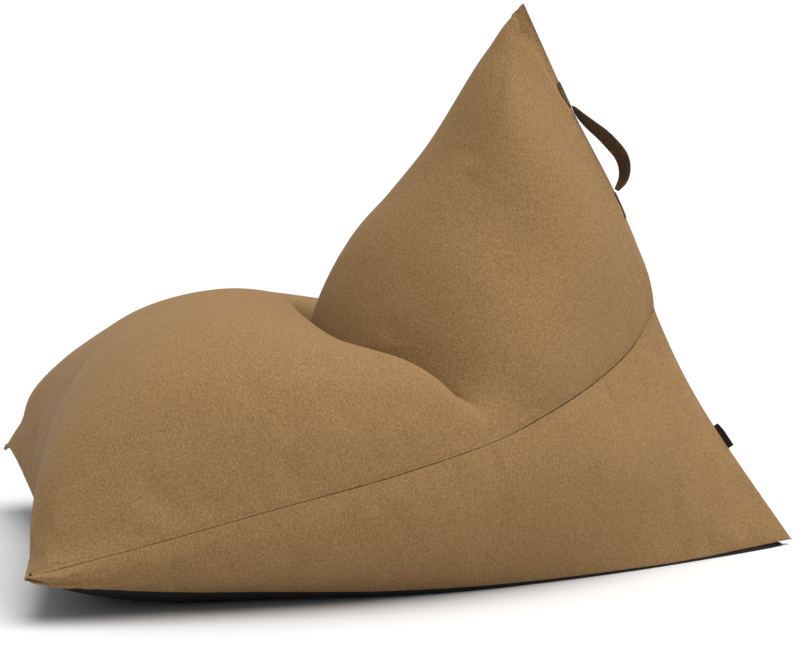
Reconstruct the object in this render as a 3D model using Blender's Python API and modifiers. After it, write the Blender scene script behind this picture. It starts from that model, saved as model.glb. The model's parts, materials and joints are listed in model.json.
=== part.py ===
"""Pyramid bean bag chair: sewn fabric cover, inner liner, bead filling, carry handle and zips.

Frame: +Z up, the sitter faces -Y, +X is the sitter's left, the floor is z = 0 and the
origin is the middle of the footprint.  All sizes are in metres.
"""
import math

import bmesh
import bpy
import numpy as np
from mathutils import Matrix, Vector

OBJECT_NAME = "bean_bag_chair"

# Overall sizes of the filled bag
BAG_WIDTH = 0.956
BAG_LENGTH = 1.305
BAG_HEIGHT = 0.905

# Cloth
COVER_THICKNESS = 0.0012
LINER_THICKNESS = 0.0005
SEAM_GAP = 0.0008
FRONT_EDGE_GAP = 0.0060
REAR_SEAM_GAP = 0.0030
CORNER_GAP = 0.0120
REAR_CORNER_GAP = 0.0300
THREAD_DIAMETER = 0.0010
TOPSTITCH_OFFSET = 0.008
TOUCH_GAP = 0.0004
PULL_LIMIT = 0.45

# Room between the layers: shares taken off each way, lift off the floor, depth below the fold
LINER_INSET = (0.018, 0.052, 0.036)
LINER_LIFT = 0.0065
LINER_FOLD_DROP = 0.022
FILLING_INSET = (0.042, 0.088, 0.064)
FILLING_LIFT = 0.0130
FILLING_FOLD_DROP = 0.050
FOLD_SPREAD = 0.35

# Zips along the centre line of the bottom: a setback is from the front corner to the zip's start
COVER_ZIP_LENGTH = 0.80
LINER_ZIP_LENGTH = 0.50
COVER_ZIP_SETBACK = 0.225
LINER_ZIP_SETBACK = 0.375
ZIP_SLOT_WIDTH = 0.0090
ZIP_TAPE_WIDTH = 0.0140
ZIP_TAPE_THICKNESS = 0.0006
ZIP_CHAIN_WIDTH = 0.0024
ZIP_CHAIN_HEIGHT = 0.0018
ZIP_CHAIN_SPLIT = 0.0016
ZIP_PLATE_THICKNESS = 0.0007
ZIP_SLIDER_LENGTH = 0.0120
ZIP_STOP_LENGTH = 0.0030

# Carry handle on the upper rear seam: its drop is measured down the seam from the peak, and
# its loop's route is (share of the span, share of the stand-off)
HANDLE_WIDTH = 0.030
HANDLE_THICKNESS = 0.0035
HANDLE_DROP = 0.186
HANDLE_SPAN = 0.160
HANDLE_STAND_OFF = 0.036
HANDLE_TAIL_LENGTH = 0.045
LOOP_ROUTE = [(0.0, 0.0), (0.12, 0.12), (0.26, 0.36), (0.41, 0.66), (0.57, 0.89), (0.70, 1.0),
              (0.82, 0.90), (0.93, 0.56), (1.0, 0.0)]

# Ribbon tab in the lower rear seam: its drop is measured down the seam from the side seams
LABEL_LENGTH = 0.046
LABEL_PROUD = 0.009
LABEL_THICKNESS = 0.0010
LABEL_DROP = 0.246

# The bag's outline: hand-set stations along the sitter's left half, in metres on a pattern bag.
# Each rail runs from the front edge, over the seat, through the fold and up the backrest.
PATTERN_SIZE = (0.956, 1.305, 0.905)
FOLD_STATION = 5
CORNER_LEAD = 0.048
CORNER_RISE = 0.032
LEAD_WIDTH = 0.43
LEAD_START = -0.30
LEAD_LENGTH = 0.33
FILL_CENTRE = (0.0, -0.05, 0.0)
INNER_POINT = (0.0, 0.0, 0.2)
CENTRE_LINE = [
    (0, -0.632, 0.078), (0, -0.603, 0.265), (0, -0.480, 0.382), (0, -0.320, 0.420),
    (0, -0.215, 0.408), (0, -0.174, 0.360), (0, -0.122, 0.505), (0, 0.008, 0.676),
    (0, 0.093, 0.818), (0, 0.169, 0.905)]
CROWN = [
    (0.160, -0.634, 0.076), (0.175, -0.604, 0.260), (0.190, -0.475, 0.376), (0.200, -0.310, 0.414),
    (0.205, -0.165, 0.390), (0.190, -0.112, 0.335), (0.200, -0.022, 0.472), (0.160, 0.074, 0.602),
    (0.112, 0.140, 0.724), (0, 0.247, 0.738)]
SHOULDER = [
    (0.320, -0.638, 0.074), (0.348, -0.610, 0.222), (0.375, -0.460, 0.318), (0.390, -0.270, 0.352),
    (0.355, -0.040, 0.340), (0.315, 0.035, 0.292), (0.295, 0.120, 0.372), (0.220, 0.195, 0.452),
    (0.135, 0.262, 0.528), (0, 0.336, 0.565)]
SIDE_SEAM = [
    (0.460, -0.645, 0.070), (0.472, -0.580, 0.088), (0.478, -0.440, 0.124), (0.460, -0.260, 0.168),
    (0.420, -0.080, 0.207), (0.350, 0.080, 0.245), (0.265, 0.195, 0.285), (0.170, 0.275, 0.315),
    (0.078, 0.341, 0.350), (0, 0.394, 0.402)]
SIDE_MIDDLE = [
    (0.460, -0.645, 0.070), (0.464, -0.578, 0.070), (0.462, -0.430, 0.078), (0.455, -0.250, 0.094),
    (0.420, -0.070, 0.110), (0.355, 0.090, 0.125), (0.282, 0.220, 0.145), (0.200, 0.320, 0.165),
    (0.100, 0.404, 0.190), (0, 0.472, 0.236)]
BOTTOM_SEAM = [
    (0.460, -0.645, 0.070), (0.450, -0.575, 0.052), (0.420, -0.430, 0.034), (0.395, -0.270, 0.025),
    (0.360, -0.110, 0.017), (0.315, 0.040, 0.012), (0.262, 0.170, 0.010), (0.200, 0.300, 0.008),
    (0.120, 0.440, 0.006), (0, 0.628, 0.012)]
FLOOR_RISE = (0.076, 0.028, 0.0)
FLOOR_INSET = 0.76
FRONT_CURVE = (0.007, 0.013)
FOLD_SHARPNESS = (1.0, 1.0, 0.6, 0.0, 0.0, 0.0, 0.0, 0.0)

CAD_STEPS = {"along": 3, "across": (4, 4, 4, 3, 3, 3, 2)}
INNER_STEPS = {"along": 2, "across": (2, 2, 2, 2, 2, 4, 2)}
SEAM_COLUMN = 3
BOTTOM_COLUMN = 5
LOOP_STEPS = 3
TAIL_POINTS = 5
LOOK_AHEAD = 0.01
STITCH_MARGIN = 3

MATERIALS = {
    "cover_fabric": ((0.325, 0.202, 0.101), 0.90, 0.0),
    "bottom_fabric": ((0.020, 0.020, 0.021), 0.85, 0.0),
    "strap_webbing": ((0.065, 0.036, 0.017), 0.80, 0.0),
    "label_ribbon": ((0.012, 0.009, 0.007), 0.60, 0.0),
    "liner_fabric": ((0.75, 0.74, 0.72), 0.80, 0.0),
    "filling_beads": ((0.88, 0.88, 0.87), 0.70, 0.0),
    "zip_tape_fabric": ((0.015, 0.015, 0.016), 0.80, 0.0),
    "zip_plastic": ((0.018, 0.018, 0.019), 0.45, 0.0),
    "zip_metal": ((0.45, 0.44, 0.42), 0.35, 1.0),
    "sewing_thread": ((0.20, 0.118, 0.056), 0.70, 0.0),
}


def clear_scene():
    """Take every object, mesh, curve and material out of the file."""
    for item in list(bpy.data.objects):
        bpy.data.objects.remove(item, do_unlink=True)
    for group in (bpy.data.meshes, bpy.data.curves, bpy.data.materials, bpy.data.collections):
        for block in list(group):
            group.remove(block)


def make_material(name):
    colour, roughness, metallic = MATERIALS[name]
    material = bpy.data.materials.new(name)
    material.use_nodes = True
    shader = material.node_tree.nodes["Principled BSDF"]
    shader.inputs["Base Color"].default_value = (*colour, 1.0)
    shader.inputs["Roughness"].default_value = roughness
    shader.inputs["Metallic"].default_value = metallic
    material.diffuse_color = (*colour, 1.0)
    return material


# ---------------------------------------------------------------- the bag's surface

def hermite(start, end, leave, arrive, share):
    """Cubic between two points, or rows of points, from its end tangents."""
    cube, square = share ** 3, share ** 2
    return ((2 * cube - 3 * square + 1) * start + (cube - 2 * square + share) * leave
            + (3 * square - 2 * cube) * end + (cube - square) * arrive)


def smooth_rail(stations, sharpness, steps):
    """Points along one rail, smooth at every station but the fold."""
    points = np.array(stations, dtype=float)
    leave = np.gradient(points, axis=0)
    arrive = leave.copy()
    fold = FOLD_STATION
    arrive[fold] += sharpness * (points[fold] - points[fold - 1] - arrive[fold])
    leave[fold] += sharpness * (points[fold + 1] - points[fold] - leave[fold])
    rows = [hermite(points[i], points[i + 1], leave[i], arrive[i + 1], step / steps)
            for i in range(len(points) - 1) for step in range(steps)]
    return np.array(rows + [points[-1]])


def floor_rails():
    """The two rails of the bottom panel, inboard of its seam and on the centre line."""
    inboard = []
    middle = []
    for index, (x, y, z) in enumerate(BOTTOM_SEAM[:-1]):
        height = FLOOR_RISE[index] if index < len(FLOOR_RISE) else 0.0
        set_back = FRONT_CURVE if index == 0 else (0.0, 0.0)
        inboard.append((FLOOR_INSET * x, y + set_back[0], height))
        middle.append((0.0, y + set_back[1], height))
    return inboard + [BOTTOM_SEAM[-1]], middle + [BOTTOM_SEAM[-1]]


def deepen_fold(stations, drop):
    """Stations of a rail with the ones at and beside the fold lowered."""
    shares = {FOLD_STATION - 1: FOLD_SPREAD, FOLD_STATION: 1.0, FOLD_STATION + 1: FOLD_SPREAD}
    return [(x, y, z - drop * shares.get(index, 0.0)) for index, (x, y, z) in enumerate(stations)]


def pattern_half(steps, fold_drop):
    """Grid (across, along, xyz) of the left half, from the centre line round to the floor."""
    upper = [deepen_fold(points, fold_drop) for points in (CENTRE_LINE, CROWN, SHOULDER)]
    stations = [*upper, SIDE_SEAM, SIDE_MIDDLE, BOTTOM_SEAM, *floor_rails()]
    rails = [smooth_rail(points, sharpness, steps["along"])
             for points, sharpness in zip(stations, FOLD_SHARPNESS)]
    mirror = np.array((-1.0, 1.0, 1.0))
    tangents = [(rails[1] - rails[1] * mirror) / 2]
    tangents += [(rails[i + 1] - rails[i - 1]) / 2 for i in range(1, 7)]
    tangents.append(rails[7] - rails[6])
    columns = []
    for i, count in enumerate(steps["across"]):
        for step in range(count):
            columns.append(hermite(rails[i], rails[i + 1], tangents[i], tangents[i + 1], step / count))
    grid = np.array(columns + [rails[7]])
    seam = sum(steps["across"][:SEAM_COLUMN])
    bottom = sum(steps["across"][:BOTTOM_COLUMN])
    grid[seam:bottom + 1, 0] = grid[seam, 0]
    places = np.linspace(seam, 0, len(grid) - bottom)
    for axis in range(3):
        grid[bottom:, 0, axis] = np.interp(places, np.arange(seam + 1), grid[:seam + 1, 0, axis])
    grid[bottom:, -1] = grid[bottom, -1]
    grid[bottom:, :, 2] = np.maximum(grid[bottom:, :, 2], 0.0)
    grid[0, :, 0] = 0.0
    return grid


def lead_corner(grid):
    """The right front corner of the filled bag sits a little further forward and higher."""
    moved = grid.copy()
    side = np.clip(-grid[..., 0] / LEAD_WIDTH, 0.0, 1.0)
    front = np.clip((LEAD_START - grid[..., 1]) / LEAD_LENGTH, 0.0, 1.0)
    share = (side * front) ** 2
    moved[..., 1] -= CORNER_LEAD * share
    moved[..., 2] += CORNER_RISE * share ** 2
    return moved


def bag_half(side, steps, inset=(0.0, 0.0, 0.0), lift=0.0, fold_drop=0.0):
    """Grid of the left (side +1) or right (side -1) half, drawn in by inset and lifted."""
    grid = pattern_half(steps, fold_drop) * np.array((side, 1.0, 1.0))
    if side < 0:
        grid = lead_corner(grid)
    centre = np.array(FILL_CENTRE)
    grid = centre + (grid - centre) * (1.0 - np.array(inset))
    grid *= np.array((BAG_WIDTH, BAG_LENGTH, BAG_HEIGHT)) / PATTERN_SIZE
    grid[..., 1] += footprint_shift()
    grid[..., 2] += lift
    return grid


def footprint_shift():
    """Move along Y that puts the middle of the footprint on the origin."""
    scale = BAG_LENGTH / PATTERN_SIZE[1]
    front = (SIDE_SEAM[0][1] - CORNER_LEAD) * scale + FRONT_EDGE_GAP
    rear = BOTTOM_SEAM[-1][1] * scale - REAR_SEAM_GAP
    return -(front + rear) / 2


# ---------------------------------------------------------------- building blocks

def add_object(name, data, material, collection):
    item = bpy.data.objects.new(name, data)
    data.materials.append(material)
    collection.objects.link(item)
    return item


def grid_mesh(name, grids):
    """One mesh from grids of points, welded where they touch."""
    mesh = bpy.data.meshes.new(name)
    work = bmesh.new()
    for grid in grids:
        rows = [[work.verts.new(point) for point in column] for column in grid]
        for left, right in zip(rows, rows[1:]):
            for i in range(len(left) - 1):
                work.faces.new((left[i], right[i], left[i + 1]))
                work.faces.new((right[i], right[i + 1], left[i + 1]))
    bmesh.ops.remove_doubles(work, verts=work.verts, dist=1e-5)
    bmesh.ops.dissolve_degenerate(work, edges=work.edges, dist=1e-5)
    bmesh.ops.recalc_face_normals(work, faces=work.faces)
    work.to_mesh(mesh)
    work.free()
    mesh.shade_smooth()
    face_outwards(mesh)
    return mesh


def face_outwards(mesh):
    """Turn a skin so that its faces look away from the middle of the bag."""
    centre = Vector(INNER_POINT)
    votes = sum(face.area * face.normal.dot(face.center - centre) for face in mesh.polygons)
    if votes < 0:
        mesh.flip_normals()


def cloth_panel(name, grids, thickness, material, collection):
    """A cloth shell: an open skin made solid towards the inside."""
    mesh = grid_mesh(name, grids)
    panel = add_object(name, mesh, material, collection)
    solid = panel.modifiers.new("cloth", "SOLIDIFY")
    solid.thickness = thickness
    solid.offset = -1.0
    return panel


def pull_back(edge, inner, distance):
    """Points of an edge moved towards the next row by a distance."""
    step = inner - edge
    length = np.linalg.norm(step, axis=-1, keepdims=True)
    return edge + step * np.minimum(distance / np.maximum(length, 1e-9), PULL_LIMIT)


def trim_grid(grid, first_column=None, last_column=None, first_row=None, last_row=None):
    """Draw the named borders of a grid back by their gaps."""
    cut = grid.copy()
    if first_row:
        cut[:, 0] = pull_back(grid[:, 0], grid[:, 1], first_row)
    if last_row:
        cut[:, -1] = pull_back(grid[:, -1], grid[:, -2], last_row)
    if first_column:
        cut[0] = pull_back(cut[0], cut[1], first_column)
    if last_column:
        cut[-1] = pull_back(cut[-1], cut[-2], last_column)
    return cut


def box_mesh(name, low, high, bevel=0.0):
    """A box between two corners, from a unit cube, with softened edges."""
    mesh = bpy.data.meshes.new(name)
    work = bmesh.new()
    bmesh.ops.create_cube(work, size=1.0)
    low, high = Vector(low), Vector(high)
    bmesh.ops.scale(work, vec=high - low, verts=work.verts)
    bmesh.ops.translate(work, vec=(low + high) / 2, verts=work.verts)
    if bevel:
        bmesh.ops.bevel(work, geom=work.edges, offset=bevel, segments=1, affect="EDGES")
    work.to_mesh(mesh)
    work.free()
    return mesh


def tube_curve(name, points, diameter, material, collection):
    """A thread along points, as a round tube with filled caps."""
    curve = bpy.data.curves.new(name, "CURVE")
    curve.dimensions = "3D"
    curve.bevel_depth = diameter / 2
    curve.bevel_resolution = 0
    curve.use_fill_caps = True
    spline = curve.splines.new("POLY")
    spline.points.add(len(points) - 1)
    for slot, point in zip(spline.points, points):
        slot.co = (*point, 1.0)
    return add_object(name, curve, material, collection)


# ---------------------------------------------------------------- cover, liner and filling

def upper_panel(collection, material):
    """Seat, backrest and both upper sides in one cloth, closed by the upper rear seam."""
    seam = sum(CAD_STEPS["across"][:SEAM_COLUMN])
    halves = [trim_grid(bag_half(side, CAD_STEPS)[:seam + 1], last_column=SEAM_GAP,
                        first_row=FRONT_EDGE_GAP, last_row=REAR_SEAM_GAP) for side in (1, -1)]
    for half in halves:
        half[0, 0] = halves[0][0, 0]
        half[0, -1] = halves[0][0, -1]
    cloth_panel("cover_upper_panel", halves, COVER_THICKNESS, material, collection)


def side_panel(side, label, collection, material):
    """Triangle of cloth between the side seam, the bottom seam and the rear seam."""
    seam = sum(CAD_STEPS["across"][:SEAM_COLUMN])
    bottom = sum(CAD_STEPS["across"][:BOTTOM_COLUMN])
    grid = trim_grid(bag_half(side, CAD_STEPS)[seam:bottom + 1], first_column=SEAM_GAP,
                     last_column=SEAM_GAP, first_row=CORNER_GAP, last_row=REAR_SEAM_GAP)
    cloth_panel("cover_side_panel_" + label, [grid], COVER_THICKNESS, material, collection)


def zip_start(setback):
    """Y of a zip's front end."""
    return (SIDE_SEAM[0][1] * BAG_LENGTH / PATTERN_SIZE[1]) + footprint_shift() + setback


def zip_edge(grid, half_gap, start, length, side):
    """Draw the centre edge of a bottom grid off the centre line, wider beside the zip."""
    cut = grid.copy()
    line = grid[-1, :, 1]
    margin = 2 * ZIP_STOP_LENGTH + np.abs(np.diff(line)).max()
    beside = (line > start - margin) & (line < start + length + margin)
    cut[-1, :, 0] = side * np.where(beside, ZIP_SLOT_WIDTH / 2, half_gap)
    return cut


def bottom_panel(side, label, collection, material):
    """Half of the dark bottom, from the bottom seam to the zip."""
    bottom = sum(CAD_STEPS["across"][:BOTTOM_COLUMN])
    grid = bag_half(side, CAD_STEPS)[bottom:]
    cut = trim_grid(grid, first_column=SEAM_GAP, first_row=FRONT_EDGE_GAP,
                    last_row=REAR_CORNER_GAP)
    cut = zip_edge(cut, SEAM_GAP, zip_start(COVER_ZIP_SETBACK), COVER_ZIP_LENGTH, side)
    cloth_panel("cover_bottom_panel_" + label, [cut], COVER_THICKNESS, material, collection)


def inner_liner(collection, material):
    """Thin inner bag that holds the beads, with a slot for its own zip."""
    halves = []
    for side in (1, -1):
        grid = bag_half(side, INNER_STEPS, LINER_INSET, LINER_LIFT, LINER_FOLD_DROP)
        halves.append(zip_edge(grid, 0.0, zip_start(LINER_ZIP_SETBACK), LINER_ZIP_LENGTH, side))
    cloth_panel("inner_liner", halves, LINER_THICKNESS, material, collection)


def bead_filling(collection, material):
    """The mass of beads, as one soft body."""
    halves = [bag_half(side, INNER_STEPS, FILLING_INSET, FILLING_LIFT, FILLING_FOLD_DROP)
              for side in (1, -1)]
    add_object("bead_filling", grid_mesh("bead_filling", halves), material, collection)


# ---------------------------------------------------------------- zips

def floor_profile():
    """Y and height of the bottom's centre line, from front to rear."""
    line = bag_half(1, CAD_STEPS)[-1]
    return line[:, 1], line[:, 2]


def zip_strip(name, sides, heights, start, end):
    """A bar between two X values and two heights that follows the bottom's centre line."""
    line, rise = floor_profile()
    inner = [y for y, z in zip(line, rise) if start < y < end and z > 0.0]
    flat_end = [y for y, ahead in zip(line, rise[1:]) if start < y < end and ahead > 0.0]
    places = sorted({start, end, *inner, *flat_end})
    mesh = bpy.data.meshes.new(name)
    work = bmesh.new()
    rings = []
    for y in places:
        lift = np.interp(y, line, rise)
        corners = [(sides[0], heights[0]), (sides[1], heights[0]), (sides[1], heights[1]),
                   (sides[0], heights[1])]
        rings.append([work.verts.new((x, y, z + lift)) for x, z in corners])
    for ring, other in zip(rings, rings[1:]):
        for i in range(4):
            j = (i + 1) % 4
            work.faces.new((ring[i], ring[j], other[j], other[i]))
    work.faces.new(rings[0])
    work.faces.new(rings[-1])
    bmesh.ops.recalc_face_normals(work, faces=work.faces)
    work.to_mesh(mesh)
    work.free()
    return mesh


def zip_set(prefix, start, length, floor, collection, materials):
    """Tapes, chains, slider and stops of one zip lying along Y above a height."""
    end = start + length
    chain_low = floor + ZIP_PLATE_THICKNESS + TOUCH_GAP
    chain_high = chain_low + ZIP_CHAIN_HEIGHT
    tape_low = chain_low + (ZIP_CHAIN_HEIGHT - ZIP_TAPE_THICKNESS) / 2
    inner = ZIP_CHAIN_SPLIT / 2
    outer = inner + ZIP_CHAIN_WIDTH
    for side, label in ((1, "left"), (-1, "right")):
        spans = {"chain": (inner, outer, chain_low, chain_high, "zip_plastic"),
                 "tape": (outer + TOUCH_GAP, outer + TOUCH_GAP + ZIP_TAPE_WIDTH, tape_low,
                          tape_low + ZIP_TAPE_THICKNESS, "zip_tape_fabric")}
        for piece, (near, far, low, high, material) in spans.items():
            name = f"{prefix}_zip_{piece}_{label}"
            mesh = zip_strip(name, (side * near, side * far), (low, high), start, end)
            add_object(name, mesh, materials[material], collection)
    for label, y_low in (("front", start - TOUCH_GAP - ZIP_STOP_LENGTH), ("rear", end + TOUCH_GAP)):
        name = f"{prefix}_zip_stop_{label}"
        mesh = zip_strip(name, (-outer, outer), (chain_low, chain_high), y_low,
                         y_low + ZIP_STOP_LENGTH)
        add_object(name, mesh, materials["zip_metal"], collection)
    zip_slider(prefix + "_zip_slider", start, floor, collection, materials["zip_metal"])


def zip_slider(name, start, floor, collection, material):
    """Slider without a pull tab: two plates joined by a thin post between the chains."""
    half_plate = ZIP_SLOT_WIDTH / 2 - 2 * TOUCH_GAP
    top = floor + ZIP_PLATE_THICKNESS + 2 * TOUCH_GAP + ZIP_CHAIN_HEIGHT
    half_post = ZIP_CHAIN_SPLIT / 2 - TOUCH_GAP
    begin = start + TOUCH_GAP
    finish = begin + ZIP_SLIDER_LENGTH
    outline = [
        (-half_plate, floor), (half_plate, floor), (half_plate, floor + ZIP_PLATE_THICKNESS),
        (half_post, floor + ZIP_PLATE_THICKNESS), (half_post, top), (half_plate, top),
        (half_plate, top + ZIP_PLATE_THICKNESS), (-half_plate, top + ZIP_PLATE_THICKNESS),
        (-half_plate, top), (-half_post, top), (-half_post, floor + ZIP_PLATE_THICKNESS),
        (-half_plate, floor + ZIP_PLATE_THICKNESS)]
    mesh = bpy.data.meshes.new(name)
    work = bmesh.new()
    corners = [work.verts.new((x, begin, z)) for x, z in outline]
    profile = work.faces.new(corners)
    grown = bmesh.ops.extrude_face_region(work, geom=[profile])
    moved = [item for item in grown["geom"] if isinstance(item, bmesh.types.BMVert)]
    bmesh.ops.translate(work, vec=(0.0, finish - begin, 0.0), verts=moved)
    bmesh.ops.recalc_face_normals(work, faces=work.faces)
    work.to_mesh(mesh)
    work.free()
    add_object(name, mesh, material, collection)


# ---------------------------------------------------------------- handle and labels

def rear_seam():
    """Points of the upper rear seam, from the peak down to where the side seams meet."""
    grid = bag_half(1, CAD_STEPS)
    return grid[:sum(CAD_STEPS["across"][:SEAM_COLUMN]) + 1, -1]


def lower_rear_seam():
    """Points of the lower rear seam, from the side seams down to the rear corner."""
    grid = bag_half(1, CAD_STEPS)
    seam = sum(CAD_STEPS["across"][:SEAM_COLUMN])
    return grid[seam:sum(CAD_STEPS["across"][:BOTTOM_COLUMN]) + 1, -1]


def along_line(points, distance):
    """Point and direction at a distance along a chain of points."""
    steps = np.diff(points, axis=0)
    lengths = np.linalg.norm(steps, axis=1)
    travelled = np.concatenate(([0.0], np.cumsum(lengths)))
    distance = min(max(distance, 0.0), travelled[-1])
    place = np.array([np.interp(distance, travelled, points[:, axis]) for axis in range(3)])
    before, after = distance - LOOK_AHEAD, distance + LOOK_AHEAD
    ahead = np.array([np.interp(after, travelled, points[:, axis]) for axis in range(3)])
    behind = np.array([np.interp(before, travelled, points[:, axis]) for axis in range(3)])
    direction = ahead - behind
    return place, direction / np.linalg.norm(direction)


def outward(direction):
    """Away from the bag in the middle plane, at right angles to a seam that runs down it."""
    return np.array((0.0, -direction[2], direction[1]))


def smooth_route(points, steps):
    """Points of a smooth curve through a route's own points."""
    route = np.array(points)
    slope = np.gradient(route, axis=0)
    rows = [hermite(route[i], route[i + 1], slope[i], slope[i + 1], step / steps)
            for i in range(len(route) - 1) for step in range(steps)]
    return np.array(rows + [route[-1]])


def strap_mesh(name, path, width, thickness):
    """A flat strap along a path in the middle plane, its width across the bag."""
    path = np.array(path)
    tangent = np.gradient(path, axis=0)
    tangent /= np.linalg.norm(tangent, axis=1)[:, None]
    normal = np.stack([np.zeros(len(path)), -tangent[:, 2], tangent[:, 1]], axis=1)
    mesh = bpy.data.meshes.new(name)
    work = bmesh.new()
    rings = []
    for place, up in zip(path, normal):
        corners = []
        for x, height in ((-1, -1), (1, -1), (1, 1), (-1, 1)):
            corner = place + up * height * thickness / 2
            corners.append(work.verts.new((x * width / 2, corner[1], corner[2])))
        rings.append(corners)
    for ring, other in zip(rings, rings[1:]):
        for i in range(4):
            j = (i + 1) % 4
            work.faces.new((ring[i], ring[j], other[j], other[i]))
    work.faces.new(rings[0])
    work.faces.new(rings[-1])
    bmesh.ops.recalc_face_normals(work, faces=work.faces)
    work.to_mesh(mesh)
    work.free()
    return mesh


def handle(collection, material):
    """Carry strap: a loop that swings between two ends sewn down on the rear seam."""
    seam = rear_seam()
    start = HANDLE_DROP
    clear = HANDLE_THICKNESS / 2 + TOUCH_GAP
    root_gap = HANDLE_THICKNESS / 2 + 2 * TOUCH_GAP
    for label, near, far in (("upper", start - HANDLE_TAIL_LENGTH, start),
                             ("lower", start + HANDLE_SPAN, start + HANDLE_SPAN + HANDLE_TAIL_LENGTH)):
        path = []
        for share in np.linspace(0.0, 1.0, TAIL_POINTS):
            place, direction = along_line(seam, near + share * (far - near))
            path.append(place + outward(direction) * clear)
        name = "handle_tail_" + label
        add_object(name, strap_mesh(name, path, HANDLE_WIDTH, HANDLE_THICKNESS), material, collection)
    first, _ = along_line(seam, start + root_gap)
    last, _ = along_line(seam, start + HANDLE_SPAN - root_gap)
    out = outward((last - first) / np.linalg.norm(last - first))
    base = clear + 2 * TOUCH_GAP
    loop = [first + (last - first) * along + out * (base + (HANDLE_STAND_OFF - base) * height)
            for along, height in smooth_route(LOOP_ROUTE, LOOP_STEPS)]
    mesh = strap_mesh("handle_loop", loop, HANDLE_WIDTH, HANDLE_THICKNESS)
    add_object("handle_loop", mesh, material, collection)


def seam_label(collection, material):
    """Blank ribbon tab caught in the lower rear seam."""
    seam = lower_rear_seam()
    start = LABEL_DROP - LABEL_LENGTH / 2
    near, _ = along_line(seam, start)
    far, _ = along_line(seam, start + LABEL_LENGTH)
    direction = (far - near) / np.linalg.norm(far - near)
    out = outward(direction)
    mesh = box_mesh("seam_label", (-LABEL_THICKNESS / 2, 0.0, 0.0),
                    (LABEL_THICKNESS / 2, LABEL_PROUD, LABEL_LENGTH), 0.0002)
    root = near + out * (2 * TOUCH_GAP)
    frame = Matrix(((1.0, 0.0, 0.0, root[0]), (0.0, out[1], direction[1], root[1]),
                    (0.0, out[2], direction[2], root[2]), (0.0, 0.0, 0.0, 1.0)))
    mesh.transform(frame)
    work = bmesh.new()
    work.from_mesh(mesh)
    bmesh.ops.recalc_face_normals(work, faces=work.faces)
    work.to_mesh(mesh)
    work.free()
    add_object("seam_label", mesh, material, collection)


def topstitching(collection, material):
    """A line of thread beside each side seam, on the upper panel."""
    seam = sum(CAD_STEPS["across"][:SEAM_COLUMN])
    for side, label in ((1, "left"), (-1, "right")):
        grid = bag_half(side, CAD_STEPS)
        line = pull_back(grid[seam], grid[seam - 1], TOPSTITCH_OFFSET)
        across = grid[seam - 1] - grid[seam]
        along = np.gradient(grid[seam], axis=0)
        normal = np.cross(across, along) * side
        normal /= np.linalg.norm(normal, axis=1)[:, None]
        inside = (normal * (line - np.array(INNER_POINT))).sum(axis=1, keepdims=True) < 0
        normal = np.where(inside, -normal, normal)
        raised = line + normal * (THREAD_DIAMETER / 2 + 3 * TOUCH_GAP)
        ends = slice(STITCH_MARGIN, -STITCH_MARGIN)
        tube_curve("topstitch_" + label, raised[ends], THREAD_DIAMETER, material, collection)


def build():
    clear_scene()
    collection = bpy.data.collections.new(OBJECT_NAME)
    bpy.context.scene.collection.children.link(collection)
    materials = {name: make_material(name) for name in MATERIALS}
    upper_panel(collection, materials["cover_fabric"])
    for side, label in ((1, "left"), (-1, "right")):
        side_panel(side, label, collection, materials["cover_fabric"])
        bottom_panel(side, label, collection, materials["bottom_fabric"])
    inner_liner(collection, materials["liner_fabric"])
    bead_filling(collection, materials["filling_beads"])
    zip_set("cover", zip_start(COVER_ZIP_SETBACK), COVER_ZIP_LENGTH, TOUCH_GAP, collection, materials)
    zip_set("liner", zip_start(LINER_ZIP_SETBACK), LINER_ZIP_LENGTH, LINER_LIFT + TOUCH_GAP,
            collection, materials)
    handle(collection, materials["strap_webbing"])
    seam_label(collection, materials["label_ribbon"])
    topstitching(collection, materials["sewing_thread"])


build()
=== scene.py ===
"""Looks of the pyramid bean bag chair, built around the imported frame."""
import json
import math

import bmesh
import bpy
import numpy as np
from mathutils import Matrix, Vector
from mathutils.bvhtree import BVHTree


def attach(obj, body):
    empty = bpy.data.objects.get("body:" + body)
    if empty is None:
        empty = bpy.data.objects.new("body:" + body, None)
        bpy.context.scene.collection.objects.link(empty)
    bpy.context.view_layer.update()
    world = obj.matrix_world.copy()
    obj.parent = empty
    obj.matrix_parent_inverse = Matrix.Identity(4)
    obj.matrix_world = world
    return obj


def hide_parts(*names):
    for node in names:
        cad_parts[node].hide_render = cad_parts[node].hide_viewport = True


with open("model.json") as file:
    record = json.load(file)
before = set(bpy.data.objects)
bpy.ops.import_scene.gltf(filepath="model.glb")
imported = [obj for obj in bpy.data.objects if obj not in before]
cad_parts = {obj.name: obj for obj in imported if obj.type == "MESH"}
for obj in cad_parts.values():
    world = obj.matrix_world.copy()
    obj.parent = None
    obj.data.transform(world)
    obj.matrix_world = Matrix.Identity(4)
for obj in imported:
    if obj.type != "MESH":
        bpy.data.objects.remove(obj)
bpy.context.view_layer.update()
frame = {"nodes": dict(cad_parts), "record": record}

BODY = "bag"
IMAGE_WIDTH = 804
SENSOR_WIDTH = 36.0

# Camera, at the side of the bag and a little above it
CAMERA_AZIMUTH = 84.0
CAMERA_ELEVATION = 7.8
CAMERA_DISTANCE = 5.17
CAMERA_TARGET = (0.0, 0.0010, 0.370)
FOCAL_PIXELS = 3150.0

# Studio light
WORLD_LIGHT = 0.43
KEY_LIGHT = 3.7
KEY_SPREAD = 75.0
KEY_FROM = (0.12, 0.29, 0.95)
FLOOR_SIZE = 60.0
FLOOR_DROP = 0.0005
FLOOR_GREY = 0.70
FLOOR_ROUGHNESS = 0.8

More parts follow.
